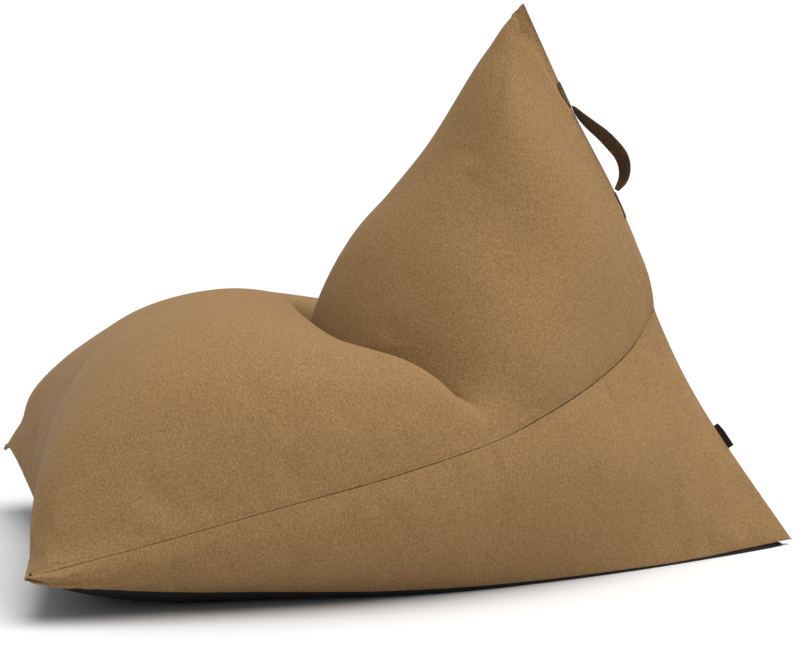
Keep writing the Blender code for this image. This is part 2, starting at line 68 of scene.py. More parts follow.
# Looks shared by the materials
SOFT_SPECULAR = 0.12
METAL_SPECULAR = 0.5
SHEEN_TINT = (1.0, 0.88, 0.72, 1.0)
SHEEN_ROUGHNESS = 0.5
FLECK_SHARE = 0.68
YARN_SHARE = 0.16
TWILL_SHARE = 0.05
TWILL_TURN = 40.0
WAVE_LENGTH = 0.314
BLOTCH_SCALE = 9.0
WEAVE_BUMP = 0.5
GRAIN_BUMP = 0.4
TONE_RANGE = (0.34, 0.66)
GRAIN_RANGE = (0.35, 0.65)

# The bag's outline, in metres: listed stations, within 25 mm of the CAD model's. The largest
# differences are a deeper fold and a lower front.
FOLD_STATION = 5
FOOTPRINT_SHIFT = 0.0310
CENTRE_LINE = [
    (0, -0.630, 0.078), (0, -0.594, 0.256), (0, -0.478, 0.376), (0, -0.320, 0.420),
    (0, -0.222, 0.412), (0, -0.179, 0.336), (0, -0.122, 0.505), (0, 0.008, 0.676),
    (0, 0.098, 0.818), (0, 0.169, 0.905)]
CROWN = [
    (0.160, -0.633, 0.076), (0.175, -0.596, 0.252), (0.190, -0.473, 0.371), (0.200, -0.310, 0.414),
    (0.205, -0.165, 0.385), (0.190, -0.117, 0.312), (0.200, -0.022, 0.472), (0.160, 0.074, 0.602),
    (0.112, 0.146, 0.724), (0, 0.247, 0.738)]
SHOULDER = [
    (0.320, -0.638, 0.074), (0.348, -0.604, 0.207), (0.375, -0.460, 0.310), (0.390, -0.270, 0.352),
    (0.350, -0.034, 0.345), (0.315, 0.035, 0.303), (0.295, 0.120, 0.372), (0.220, 0.195, 0.452),
    (0.135, 0.262, 0.528), (0, 0.336, 0.565)]
SIDE_SEAM = [
    (0.460, -0.645, 0.070), (0.472, -0.580, 0.088), (0.478, -0.440, 0.124), (0.460, -0.260, 0.168),
    (0.420, -0.080, 0.207), (0.350, 0.080, 0.245), (0.265, 0.195, 0.285), (0.170, 0.275, 0.315),
    (0.078, 0.341, 0.350), (0, 0.390, 0.401)]
SIDE_MIDDLE = [
    (0.460, -0.645, 0.070), (0.464, -0.578, 0.070), (0.462, -0.430, 0.078), (0.455, -0.250, 0.094),
    (0.420, -0.070, 0.110), (0.355, 0.090, 0.125), (0.282, 0.220, 0.145), (0.200, 0.320, 0.165),
    (0.100, 0.404, 0.190), (0, 0.472, 0.236)]
BOTTOM_SEAM = [
    (0.460, -0.645, 0.070), (0.450, -0.575, 0.052), (0.420, -0.430, 0.034), (0.395, -0.270, 0.025),
    (0.360, -0.110, 0.014), (0.315, 0.040, 0.008), (0.262, 0.170, 0.005), (0.200, 0.300, 0.004),
    (0.120, 0.440, 0.003), (0, 0.628, 0.008)]
# For each rail, how sharply it turns at the fold and how far the back leans out over it
FOLD_SHARPNESS = (1.0, 1.0, 0.8, 0.0, 0.0, 0.0, 0.0, 0.0)
FOLD_OVERHANG = (0.060, 0.060, 0.02, 0.0, 0.0, 0.0, 0.0, 0.0)

# Bottom panel: heights of its front stations, its inner rail, and the bow of its front edge
FLOOR_RISE = (0.076, 0.028, 0.0)
FLOOR_INSET = 0.76
FLOOR_BOW_INNER = 0.007
FLOOR_BOW_MIDDLE = 0.013

# Right front corner: where its shift starts, and how far it leads, rises and fills out
LEAD_WIDTH = 0.43
LEAD_START = -0.30
LEAD_LENGTH = 0.33
CORNER_LEAD = 0.048
CORNER_RISE = 0.040
CORNER_FULLNESS = 0.055

# Fullness at the front of the peak, and of the back just above the side seam
TIP_COLUMNS = 12
TIP_FULLNESS = 0.008
REAR_BULGE = 0.008
REAR_RUN = 6.0

# Grid of the simulated cloth: steps between stations, and between rails
STEPS_ALONG = 16
STEPS_ACROSS = (12, 12, 12, 10, 10, 10, 8)
SEAM_COLUMN = 3
BOTTOM_COLUMN = 5

# Cloth: its thickness, the weld of doubled points, and a point inside the bag
CLOTH_THICKNESS = 0.0012
WELD = 1e-5
INNER_POINT = (0.0, 0.0, 0.2)

# The bottom panel's ends are tucked under the cover: front shift, rear share, rows it takes
BOTTOM_TUCK = 0.007
REAR_TUCK = 2.2
TUCK_ROWS = 3.0

# Cloth simulation: pressure, how much longer the cloth is than its seams, and its stiffness
PRESSURE = 4.0
CLOTH_EASE = 0.015
CLOTH_MASS = 0.4
STRETCH_STIFFNESS = 40.0
SHEAR_STIFFNESS = 20.0
BENDING_STIFFNESS = 2.0
SIMULATION_QUALITY = 6
LAST_FRAME = 20

# Most that the cloth may rise or sink, the inset of the upper panel, and its run at the seams
MOST_SWELL = 0.007
MOST_SINK = 0.001
START_INSET = 0.002
INSET_RUN = 9.0

# Topstitching beside the side seams
STITCH_OFFSET = 0.0075
STITCH_PITCH = 0.0048
STITCH_LENGTH = 0.0036
THREAD_RADIUS = 0.00045
STITCH_START = 0.06
STITCH_END = 0.03
THREAD_SIDES = 6
# One stitch, as shares of its length and of the thread's radius: (along, height, fatness)
STITCH_PROFILE = ((-0.50, -0.9, 0.5), (-0.34, 0.1, 0.9), (0.0, 0.5, 1.0), (0.34, 0.1, 0.9),
                  (0.50, -0.9, 0.5))

# Carry strap: placed as the CAD pieces that it replaces, and a little thinner
HANDLE_DROP = 0.186
HANDLE_SPAN = 0.160
HANDLE_STAND_OFF = 0.036
HANDLE_WIDTH = 0.030
HANDLE_THICKNESS = 0.0032
TAIL_LENGTH = 0.045
ROOT_GAP = 0.0022
ROOT_LIFT = 0.0018
STRAP_TWIST = 42.0
TWIST_BLEND = 0.8
ROUTE_STEPS = 6
STRAP_SIDES = 28
STRAP_FLATNESS = 0.35
STRAP_EDGE = 0.6
TAIL_ROWS = 16
TAIL_COLUMNS = 15
TAIL_REACH = 0.004
TAIL_SHARE = 0.5
TAIL_SMOOTHING = 3
CROSS_STITCH_INSET = 0.006
CROSS_STITCH_MARGIN = 0.003
CROSS_STITCH_LIFT = 0.006
CROSS_STITCH_POINTS = 12
LOOP_ROUTE = [(0.0, 0.0), (0.12, 0.12), (0.26, 0.36), (0.41, 0.66), (0.57, 0.89), (0.70, 1.0),
              (0.82, 0.90), (0.93, 0.56), (1.0, 0.0)]

# Label: placed as the CAD piece that it replaces, and a little prouder and thicker
LABEL_DROP = 0.246
LABEL_LENGTH = 0.046
LABEL_PROUD = 0.0095
LABEL_THICKNESS = 0.0014
LABEL_ROOT = 0.004
LABEL_SHOULDER = 0.86
LABEL_END_SHARE = 0.72
LABEL_END_RUN = 0.35
LABEL_SWAY = 0.0012
LABEL_SWAY_TURN = 2.4
LABEL_STEPS = 16
LABEL_ROUNDING = 0.0003

# Layers inside the cover: shares taken off each way, lift off the floor, drop of the fold,
# all about one centre
FILL_CENTRE = (0.0, -0.05, 0.0)
LINER_LAYER = ((0.030, 0.066, 0.050), 0.0065, 0.030)
BEAD_LAYER = ((0.052, 0.096, 0.076), 0.0130, 0.055)
FOLD_SPREAD = 0.35

# A rolled edge, from its hidden end: (distance from the seam, depth)
SEAM_ROLL = ((0.0005, 0.0060), (0.0002, 0.0026), (0.0003, 0.0011), (0.0010, 0.0003),
             (0.0035, 0.0))
# On the middle seam the roll is only as deep as the angle there leaves room for
ROLL_PER_ANGLE = 0.5


# ---------------------------------------------------------------- materials

class Graph:
    """Short names for adding nodes to one material."""

    def __init__(self, name):
        self.material = bpy.data.materials.new(name)
        self.material.use_nodes = True
        self.tree = self.material.node_tree
        self.shader = self.tree.nodes["Principled BSDF"]

    def add(self, kind, inputs=None, **settings):
        node = self.tree.nodes.new(kind)
        for key, value in settings.items():
            setattr(node, key, value)
        for key, value in (inputs or {}).items():
            if isinstance(value, bpy.types.NodeSocket):
                self.tree.links.new(value, node.inputs[key])
            else:
                node.inputs[key].default_value = value
        return node

    def maths(self, operation, first, second):
        return self.add("ShaderNodeMath", {0: first, 1: second}, operation=operation).outputs[0]

    def noise(self, vector, scale, detail=2.0, roughness=0.5):
        node = self.add("ShaderNodeTexNoise", {"Vector": vector, "Scale": scale, "Detail": detail,
                                               "Roughness": roughness})
        return node.outputs["Fac"]

    def stretched(self, vector, scales, turn=0.0):
        node = self.add("ShaderNodeMapping", {"Vector": vector, "Scale": scales,
                                              "Rotation": (0.0, 0.0, turn)})
        return node.outputs["Vector"]

    def ramp(self, factor, stops):
        """A colour from a factor, between two stops of (place, colour)."""
        node = self.add("ShaderNodeValToRGB", {"Fac": factor})
        for element, (place, colour) in zip(node.color_ramp.elements, stops):
            element.position = place
            element.color = (*colour, 1.0)
        return node.outputs["Color"]

    def bump(self, height, strength, distance):
        inputs = {"Height": height, "Strength": strength, "Distance": distance}
        return self.add("ShaderNodeBump", inputs).outputs["Normal"]

    def about_zero(self, value, weight):
        """A 0 to 1 value moved to lie about zero, times a weight."""
        return self.maths("MULTIPLY", self.maths("SUBTRACT", value, 0.5), weight)

    def finish(self, **sockets):
        for name, value in sockets.items():
            socket = self.shader.inputs[name.replace("_", " ")]
            if isinstance(value, bpy.types.NodeSocket):
                self.tree.links.new(value, socket)
            else:
                socket.default_value = value
        return self.material


def woven_cloth(name, dark, light, blotch, sheen, roughness, yarn=0.0022, relief=0.0005):
    """Melange twill: flecks, crossing yarns, a fine diagonal, and slow changes of tone."""
    graph = Graph(name)
    place = graph.add("ShaderNodeAttribute", attribute_name="cloth").outputs["Vector"]
    solid = graph.add("ShaderNodeTexCoord").outputs["Object"]
    pitch = 1.0 / yarn
    warp = graph.noise(graph.stretched(place, (pitch, pitch * 0.5, 1.0)), 1.0, detail=1.0)
    weft = graph.noise(graph.stretched(place, (pitch * 0.5, pitch, 1.0)), 1.0, detail=1.0)
    fleck = graph.noise(solid, pitch * 0.75, detail=1.0)
    twill = graph.add("ShaderNodeTexWave", {
        "Vector": graph.stretched(place, (1.0, 1.0, 1.0), math.radians(TWILL_TURN)),
        "Scale": WAVE_LENGTH / yarn, "Distortion": 1.0, "Detail": 1.0, "Detail Scale": 3.0}).outputs["Fac"]
    yarns = graph.maths("MULTIPLY", graph.maths("ADD", warp, weft), YARN_SHARE)
    tone = graph.maths("ADD", yarns, graph.maths("MULTIPLY", fleck, FLECK_SHARE))
    tone = graph.maths("ADD", tone, graph.about_zero(twill, TWILL_SHARE))
    slow = graph.noise(solid, BLOTCH_SCALE, detail=3.0, roughness=0.55)
    tone = graph.maths("ADD", tone, graph.about_zero(slow, blotch))
    colour = graph.ramp(tone, zip(TONE_RANGE, (dark, light)))
    normal = graph.bump(tone, WEAVE_BUMP, relief)
    return graph.finish(Base_Color=colour, Roughness=roughness, Normal=normal, Sheen_Weight=sheen,
                        Sheen_Roughness=SHEEN_ROUGHNESS, Sheen_Tint=SHEEN_TINT,
                        Specular_IOR_Level=SOFT_SPECULAR)


def plain_grain(name, dark, light, scale, roughness, metallic=0.0, relief=0.0001):
    """Fine-grained surface for small pieces, from the object's own coordinates."""
    graph = Graph(name)
    place = graph.add("ShaderNodeTexCoord").outputs["Object"]
    grain = graph.noise(place, scale, detail=3.0, roughness=0.6)
    colour = graph.ramp(grain, zip(GRAIN_RANGE, (dark, light)))
    normal = graph.bump(grain, GRAIN_BUMP, relief)
    gloss = METAL_SPECULAR if metallic else SOFT_SPECULAR
    return graph.finish(Base_Color=colour, Roughness=roughness, Metallic=metallic, Normal=normal,
                        Specular_IOR_Level=gloss)


def make_materials():
    """Every material, by the slot that it fills."""
    return {
        "cover_fabric": woven_cloth("tan_melange", (0.192, 0.107, 0.041), (0.312, 0.187, 0.083),
                                    0.06, 0.06, 0.95),
        "bottom_fabric": woven_cloth("black_bottom_cloth", (0.010, 0.010, 0.011),
                                     (0.026, 0.026, 0.028), 0.05, 0.0, 0.9),
        "strap_webbing": woven_cloth("brown_strap", (0.026, 0.014, 0.006), (0.135, 0.078, 0.038),
                                     0.05, 0.05, 0.85, yarn=0.0018),
        "label_ribbon": plain_grain("label_ribbon", (0.006, 0.004, 0.003), (0.018, 0.013, 0.010),
                                    1500.0, 0.55),
        "liner_fabric": plain_grain("liner_nonwoven", (0.68, 0.67, 0.65), (0.80, 0.79, 0.77),
                                    900.0, 0.8),
        "filling_beads": plain_grain("bead_mass", (0.78, 0.78, 0.77), (0.92, 0.92, 0.91),
                                     300.0, 0.7, relief=0.001),
        "zip_tape_fabric": plain_grain("zip_tape", (0.010, 0.010, 0.011), (0.022, 0.022, 0.023),
                                       1800.0, 0.8),
        "zip_plastic": plain_grain("zip_coil", (0.014, 0.014, 0.015), (0.024, 0.024, 0.025),
                                   1200.0, 0.45),
        "zip_metal": plain_grain("zip_zinc", (0.38, 0.37, 0.35), (0.52, 0.51, 0.49), 900.0, 0.35, 1.0),
        "sewing_thread": plain_grain("tan_thread", (0.20, 0.115, 0.052), (0.30, 0.185, 0.095),
                                     2500.0, 0.7),
    }


# ---------------------------------------------------------------- the bag's surface

def hermite(start, end, leave, arrive, share):
    """A point on the smooth curve from start to end that leaves and arrives as told."""
    cube, square = share ** 3, share ** 2
    return ((2 * cube - 3 * square + 1) * start + (cube - 2 * square + share) * leave
            + (3 * square - 2 * cube) * end + (cube - square) * arrive)


def smooth_rail(stations, sharpness, overhang, steps):
    """Points along one rail, smooth at every station but the fold."""
    points = np.array(stations, dtype=float)
    leave = np.gradient(points, axis=0)
    arrive = leave.copy()
    fold = FOLD_STATION
    arrive[fold] += sharpness * (points[fold] - points[fold - 1] - arrive[fold])
    leave[fold] += sharpness * (points[fold + 1] - points[fold] - leave[fold])
    leave[fold, 1] -= overhang
    rows = [hermite(points[i], points[i + 1], leave[i], arrive[i + 1], step / steps)
            for i in range(len(points) - 1) for step in range(steps)]
    return np.array(rows + [points[-1]])


def floor_rails():
    """The two rails of the bottom panel, inboard of its seam and on the centre line."""
    inboard = []
    middle = []
    for index, (x, y, z) in enumerate(BOTTOM_SEAM[:-1]):
        height = FLOOR_RISE[index] if index < len(FLOOR_RISE) else 0.0
        inboard.append((FLOOR_INSET * x, y + FLOOR_BOW_INNER * (index == 0), height))
        middle.append((0.0, y + FLOOR_BOW_MIDDLE * (index == 0), height))
    return inboard + [BOTTOM_SEAM[-1]], middle + [BOTTOM_SEAM[-1]]


def deepen_fold(stations, drop):
    """Stations of a rail with the ones at and beside the fold lowered."""
    shares = {FOLD_STATION - 1: FOLD_SPREAD, FOLD_STATION: 1.0, FOLD_STATION + 1: FOLD_SPREAD}
    return [(x, y, z - drop * shares.get(index, 0.0)) for index, (x, y, z) in enumerate(stations)]


def bag_half(side, inset=(0.0, 0.0, 0.0), lift=0.0, fold_drop=0.0):
    """Grid (across, along, xyz) of one half, from the centre line round to the floor."""
    upper = [deepen_fold(points, fold_drop) for points in (CENTRE_LINE, CROWN, SHOULDER)]
    stations = [*upper, SIDE_SEAM, SIDE_MIDDLE, BOTTOM_SEAM, *floor_rails()]
    rails = [smooth_rail(points, sharpness, overhang, STEPS_ALONG)
             for points, sharpness, overhang in zip(stations, FOLD_SHARPNESS, FOLD_OVERHANG)]
    mirror = np.array((-1.0, 1.0, 1.0))
    tangents = [(rails[1] - rails[1] * mirror) / 2]
    tangents += [(rails[i + 1] - rails[i - 1]) / 2 for i in range(1, 7)]
    tangents.append(rails[7] - rails[6])
    columns = []
    for i, count in enumerate(STEPS_ACROSS):
        for step in range(count):
            columns.append(hermite(rails[i], rails[i + 1], tangents[i], tangents[i + 1], step / count))
    grid = np.array(columns + [rails[7]])
    seam, bottom = seam_index(), bottom_index()
    grid[seam:bottom + 1, 0] = grid[seam, 0]
    places = np.linspace(seam, 0, len(grid) - bottom)
    for axis in range(3):
        grid[bottom:, 0, axis] = np.interp(places, np.arange(seam + 1), grid[:seam + 1, 0, axis])
    grid[bottom:, -1] = grid[bottom, -1]
    grid[bottom:, :, 2] = np.maximum(grid[bottom:, :, 2], 0.0)
    grid[0, :, 0] = 0.0
    fill_out(grid)
    grid *= np.array((side, 1.0, 1.0))
    if side < 0:
        lead_corner(grid)
    centre = np.array(FILL_CENTRE)
    grid = centre + (grid - centre) * (1.0 - np.array(inset))
    grid += np.array((0.0, FOOTPRINT_SHIFT, lift))
    return grid


def late_bump(share):
    """0 at both ends, and 1 at two thirds of the way."""
    return 27.0 / 4.0 * share ** 2 * (1.0 - share)


def fill_out(grid):
    """Fills the front of the peak, and the back just above the side seam, with beads."""
    tip_rows = (len(CENTRE_LINE) - 2) * STEPS_ALONG
    share = np.linspace(0.0, 1.0, grid.shape[1] - tip_rows)
    across = np.linspace(1.0, 0.0, TIP_COLUMNS)[:, None]
    grid[:TIP_COLUMNS, tip_rows:, 1] -= TIP_FULLNESS * late_bump(share) * across
    first, seam = sum(STEPS_ACROSS[:SEAM_COLUMN - 1]), seam_index()
    share = np.linspace(0.0, 1.0, seam - first + 1)[:, None]
    from_end = np.arange(grid.shape[1])[::-1]
    grid[first:seam + 1, :, 1] += REAR_BULGE * late_bump(share) * np.exp(-from_end / REAR_RUN)


def lead_corner(grid):
    """The right front corner sits a little further forward and higher."""
    side = np.clip(-grid[..., 0] / LEAD_WIDTH, 0.0, 1.0)
    front = np.clip((LEAD_START - grid[..., 1]) / LEAD_LENGTH, 0.0, 1.0)
    share = (side * front) ** 2
    grid[..., 1] -= CORNER_LEAD * share
    grid[..., 2] += CORNER_RISE * share ** 1.5 + CORNER_FULLNESS * share ** 2 * (1.0 - share) ** 0.5


def seam_index():
    """The grid column of the side seam."""
    return sum(STEPS_ACROSS[:SEAM_COLUMN])


def bottom_index():
    """The grid column of the bottom seam."""
    return sum(STEPS_ACROSS[:BOTTOM_COLUMN])


# ---------------------------------------------------------------- inflating the cloth

def face_outwards(mesh):
    """Turns a skin so that its faces look away from the middle of the bag."""
    centre = Vector(INNER_POINT)
    if sum(face.area * face.normal.dot(face.center - centre) for face in mesh.polygons) < 0:
        mesh.flip_normals()


def free_share(columns, rows):
    """How free each point of the upper panel is: 0 at its seams, 1 well inside."""
    off_middle = np.abs(np.arange(columns) - columns // 2)
    across = np.clip((seam_index() - off_middle) / INSET_RUN, 0.0, 1.0)
    row = np.arange(rows)
    along = np.clip(np.minimum(row, rows - 1 - row) / INSET_RUN, 0.0, 1.0)
    return (across[:, None] * along[None, :])[..., None]


def inflate(halves):
    """Blows the sewn cover up a little, held at its seams, and returns the new grids."""
    seam, bottom = seam_index(), bottom_index()
    ring = np.concatenate([halves[-1][::-1], halves[1][1:]])
    columns, rows = ring.shape[:2]
    welded, inverse = np.unique(np.round(ring.reshape(-1, 3), 6), axis=0, return_inverse=True)
    inverse = inverse.reshape(columns, rows)
    faces = []
    for i in range(columns - 1):
        for j in range(rows - 1):
            corners = [inverse[i, j], inverse[i + 1, j], inverse[i + 1, j + 1], inverse[i, j + 1]]
            unique = list(dict.fromkeys(int(corner) for corner in corners))
            if len(unique) > 2:
                faces.append(unique)
    mesh = bpy.data.meshes.new("inflating")
    mesh.from_pydata(welded.tolist(), [], faces)
    mesh.update()
    work = bmesh.new()
    work.from_mesh(mesh)
    bmesh.ops.recalc_face_normals(work, faces=work.faces)
    work.to_mesh(mesh)
    work.free()
    face_outwards(mesh)
    normals = np.array([vertex.normal for vertex in mesh.vertices])
    body = bpy.data.objects.new("inflating", mesh)
    bpy.context.scene.collection.objects.link(body)
    held = body.vertex_groups.new(name="held")
    middle = halves[1].shape[0] - 1
    seams = {middle - seam, middle + seam, middle - bottom, middle + bottom}
    hold = np.zeros(len(welded))
    for column in range(columns):
        off_floor = abs(column - middle)
        for row in range(rows):
            weight = 1.0 if column in seams or row in (0, rows - 1) or off_floor > bottom else 0.0
            hold[inverse[column, row]] = max(hold[inverse[column, row]], weight)
    for number in np.nonzero(hold)[0]:
        held.add([int(number)], float(hold[number]), "REPLACE")
    cloth = body.modifiers.new("cloth", "CLOTH")
    settings = cloth.settings
    settings.quality = SIMULATION_QUALITY
    settings.mass = CLOTH_MASS
    settings.tension_stiffness = STRETCH_STIFFNESS
    settings.compression_stiffness = STRETCH_STIFFNESS
    settings.shear_stiffness = SHEAR_STIFFNESS
    settings.bending_stiffness = BENDING_STIFFNESS
    settings.use_pressure = True
    settings.uniform_pressure_force = PRESSURE
    settings.shrink_min = -CLOTH_EASE
    settings.vertex_group_mass = "held"
    settings.pin_stiffness = 1.0
    settings.effector_weights.gravity = 0.0
    scene = bpy.context.scene
    for number in range(1, LAST_FRAME + 1):
        scene.frame_set(number)
    graph = bpy.context.evaluated_depsgraph_get()
    shaped = body.evaluated_get(graph).data
    moved = np.empty(len(welded) * 3)
    shaped.vertices.foreach_get("co", moved)
    moved = moved.reshape(-1, 3)
    scene.frame_set(1)
    step = moved - welded
    rise = (step * normals).sum(axis=1, keepdims=True)
    step += normals * (np.clip(rise, -MOST_SINK, MOST_SWELL) - rise)
    blown = (welded + step)[inverse] - normals[inverse] * START_INSET * free_share(columns, rows)
    bpy.data.objects.remove(body, do_unlink=True)
    half = middle + 1
    return {-1: blown[:half][::-1].copy(), 1: blown[middle:].copy()}


# ---------------------------------------------------------------- cloth pieces

def unit(vectors):
    """Vectors of the same directions and of length 1."""
    return vectors / np.maximum(np.linalg.norm(vectors, axis=-1, keepdims=True), 1e-9)


def surface_normals(grid):
    """Outward normals of a grid, from its neighbours."""
    along = np.gradient(grid, axis=1)
    across = np.gradient(grid, axis=0)
    normal = unit(np.cross(across, along))
    if ((grid - np.array(INNER_POINT)) * normal).sum() < 0:
        normal = -normal
    return normal


def turned_edge(edge, inner, up):
    """Rows of points where a cloth's edge rolls over and goes down into the seam."""
    step = unit(inner - edge)
    on_middle = np.abs(edge[:, :1]) < WELD
    open_angle = np.clip(np.abs(step[:, :1]) * ROLL_PER_ANGLE, 0.0, 1.0)
    depth = np.where(on_middle, open_angle, 1.0)
    return [edge - up * drop * depth + step * back for back, drop in SEAM_ROLL]


def turn_edges(grid, normal, first, last):
    """Rolls the first and last columns of a grid into their seams."""
    columns = list(grid)
    if first:
        columns = turned_edge(grid[0], grid[1], normal[0]) + columns[1:]
    if last:
        columns = columns[:-1] + turned_edge(grid[-1], grid[-2], normal[-1])[::-1]
    return np.array(columns)


def cloth_coordinates(grid):
    """Lengths along and across the cloth, so that the weave keeps its scale on the surface."""
    across = np.linalg.norm(np.diff(grid, axis=0), axis=2)
    along = np.linalg.norm(np.diff(grid, axis=1), axis=2)
    s = np.concatenate([np.zeros((1, grid.shape[1])), np.cumsum(across, axis=0)])
    t = np.concatenate([np.zeros((grid.shape[0], 1)), np.cumsum(along, axis=1)], axis=1)
    return np.stack([s - s.mean(axis=0), t, np.zeros_like(s)], axis=2)


def link(name, mesh, material):
    """Puts a mesh into the scene as one piece of one material."""
    mesh.materials.append(material)
    piece = bpy.data.objects.new(name, mesh)
    bpy.context.scene.collection.objects.link(piece)
    return piece


def grid_object(name, grid, material, thickness=CLOTH_THICKNESS, subdivide=1):
    """A cloth piece from a grid: quads, a subdivision, and the cloth's own thickness."""
    columns, rows = grid.shape[:2]
    index = np.arange(columns * rows).reshape(columns, rows)
    quads = np.stack([index[:-1, :-1], index[1:, :-1], index[1:, 1:], index[:-1, 1:]], axis=2)
    mesh = bpy.data.meshes.new(name)
    mesh.from_pydata(grid.reshape(-1, 3).tolist(), [], quads.reshape(-1, 4).tolist())
    cloth = mesh.attributes.new("cloth", "FLOAT_VECTOR", "POINT")
    cloth.data.foreach_set("vector", cloth_coordinates(grid).astype(np.float32).ravel())
    work = bmesh.new()
    work.from_mesh(mesh)
    bmesh.ops.remove_doubles(work, verts=work.verts, dist=WELD)
    bmesh.ops.dissolve_degenerate(work, edges=work.edges, dist=WELD)
    work.to_mesh(mesh)
    work.free()
    piece = link(name, mesh, material)
    face_outwards(mesh)
    if subdivide:
        smooth = piece.modifiers.new("smooth", "SUBSURF")
        smooth.levels = subdivide
        smooth.render_levels = subdivide
    if thickness:
        solid = piece.modifiers.new("cloth", "SOLIDIFY")
        solid.thickness = thickness
        solid.offset = -1.0
    mesh.shade_smooth()
    return piece


def make_panel(name, grid, material, nodes, rows=(True, True)):
    """One cloth panel, its sides rolled into their seams, and its ends too where rows says so."""
    turned = turn_edges(grid, surface_normals(grid), True, True)
    normal = surface_normals(turned).transpose(1, 0, 2)
    turned = turn_edges(turned.transpose(1, 0, 2), normal, *rows).transpose(1, 0, 2)
    turned[..., 2] = np.maximum(turned[..., 2], 0.0)
    piece = grid_object(name, turned, material)
    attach(piece, BODY)
    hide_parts(*nodes)
    return piece


def cover(halves, materials):
    """The five sewn panels of the outer cover."""
    seam, bottom = seam_index(), bottom_index()
    upper = np.concatenate([halves[-1][seam:0:-1], halves[1][:seam + 1]])
    tan, black = materials["cover_fabric"], materials["bottom_fabric"]
    top = make_panel("cover_upper", upper, tan, ("cover_upper_panel",))
    for side, label in ((1, "left"), (-1, "right")):
        panel = halves[side][seam:bottom + 1, 1:]
        make_panel("cover_side_" + label, panel, tan, ("cover_side_panel_" + label,),
                   rows=(False, True))
        floor = halves[side][bottom:, :-1].copy()
        row = np.arange(floor.shape[1])
        floor[:, :, 1] += BOTTOM_TUCK * (np.exp(-row / TUCK_ROWS)
                                         - REAR_TUCK * np.exp(-row[::-1] / TUCK_ROWS))
        make_panel("cover_bottom_" + label, floor, black, ("cover_bottom_panel_" + label,),
                   rows=(True, False))
    return top


def inner_layer(name, node, layer, material):
    """The liner or the mass of beads: the bag's shape, drawn in."""
    halves = {side: bag_half(side, *layer) for side in (1, -1)}
    ring = np.concatenate([halves[-1][::-1], halves[1][1:]])
    piece = grid_object(name, ring, material, thickness=0.0, subdivide=0)
    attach(piece, BODY)
    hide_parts(node)
    return piece


# ---------------------------------------------------------------- stitches, strap and label

def surface_tree(piece):
    """A piece's final surface, to find its nearest points."""
    return BVHTree.FromObject(piece, bpy.context.evaluated_depsgraph_get())


def spaced_points(line, start, end, pitch):
    """Points and directions every pitch along a chain of points."""
    lengths = np.linalg.norm(np.diff(line, axis=0), axis=1)
    travelled = np.concatenate(([0.0], np.cumsum(lengths)))
    places = np.arange(start, travelled[-1] - end, pitch)
    points = np.stack([np.interp(places, travelled, line[:, axis]) for axis in range(3)], axis=1)
    return points, unit(np.gradient(points, axis=0))


def stitch_row(name, line, tree, material, start, end):
    """Single thread stitches laid on a surface: each a short tube that dives in at both ends."""
    points, directions = spaced_points(line, start, end, STITCH_PITCH)
    mesh = bpy.data.meshes.new(name)
    work = bmesh.new()
    for point, direction in zip(points, directions):
        spot, normal, _, _ = tree.find_nearest(Vector(point))
        up = np.array(normal)
        if up.dot(point - np.array(INNER_POINT)) < 0:
            up = -up
        side = unit(np.cross(direction, up))
        rings = []
        for along, height, fat in STITCH_PROFILE:
            centre = np.array(spot) + direction * along * STITCH_LENGTH + up * height * THREAD_RADIUS
            ring = []
            for turn in np.linspace(0.0, 2 * math.pi, THREAD_SIDES, endpoint=False):
                offset = (side * math.cos(turn) + up * math.sin(turn)) * THREAD_RADIUS * fat
                ring.append(work.verts.new(centre + offset))
            rings.append(ring)
        join_rings(work, rings)
    bmesh.ops.recalc_face_normals(work, faces=work.faces)
    work.to_mesh(mesh)
    work.free()
    mesh.shade_smooth()
    return link(name, mesh, material)


def join_rings(work, rings):
    """Skins a row of closed rings and caps both ends."""
    for ring, other in zip(rings, rings[1:]):
        for i in range(len(ring)):
            j = (i + 1) % len(ring)
            work.faces.new((ring[i], ring[j], other[j], other[i]))
    work.faces.new(rings[0][::-1])
    work.faces.new(rings[-1])


def topstitching(halves, upper, materials):
    """A row of stitches just above each side seam."""
    seam = seam_index()
    tree = surface_tree(upper)
    for side, label in ((1, "left"), (-1, "right")):
        grid = halves[side]
        line = grid[seam] + unit(grid[seam - 1] - grid[seam]) * STITCH_OFFSET
        piece = stitch_row("topstitch_row_" + label, line, tree, materials["sewing_thread"],
                           STITCH_START, STITCH_END)
        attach(piece, BODY)
        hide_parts("topstitch_" + label)


def seam_point(line, distance, reach=0.01):
    """Point at a distance down a seam, and the seam's direction over a reach to both sides."""
    lengths = np.linalg.norm(np.diff(line, axis=0), axis=1)
    travelled = np.concatenate(([0.0], np.cumsum(lengths)))
    spots = [np.array([np.interp(distance + step, travelled, line[:, axis]) for axis in range(3)])
             for step in (-reach, 0.0, reach)]
    return spots[1], unit(spots[2] - spots[0])


def outward(direction):
    """The direction away from the bag, square to a direction down the rear seam."""
    return np.array((0.0, -direction[2], direction[1]))


def smooth_route(points, steps):
    """Points of a smooth curve through a route's own points."""
    route = np.array(points)
    slope = np.gradient(route, axis=0)
    rows = [hermite(route[i], route[i + 1], slope[i], slope[i + 1], step / steps)
            for i in range(len(route) - 1) for step in range(steps)]
    return np.array(rows + [route[-1]])


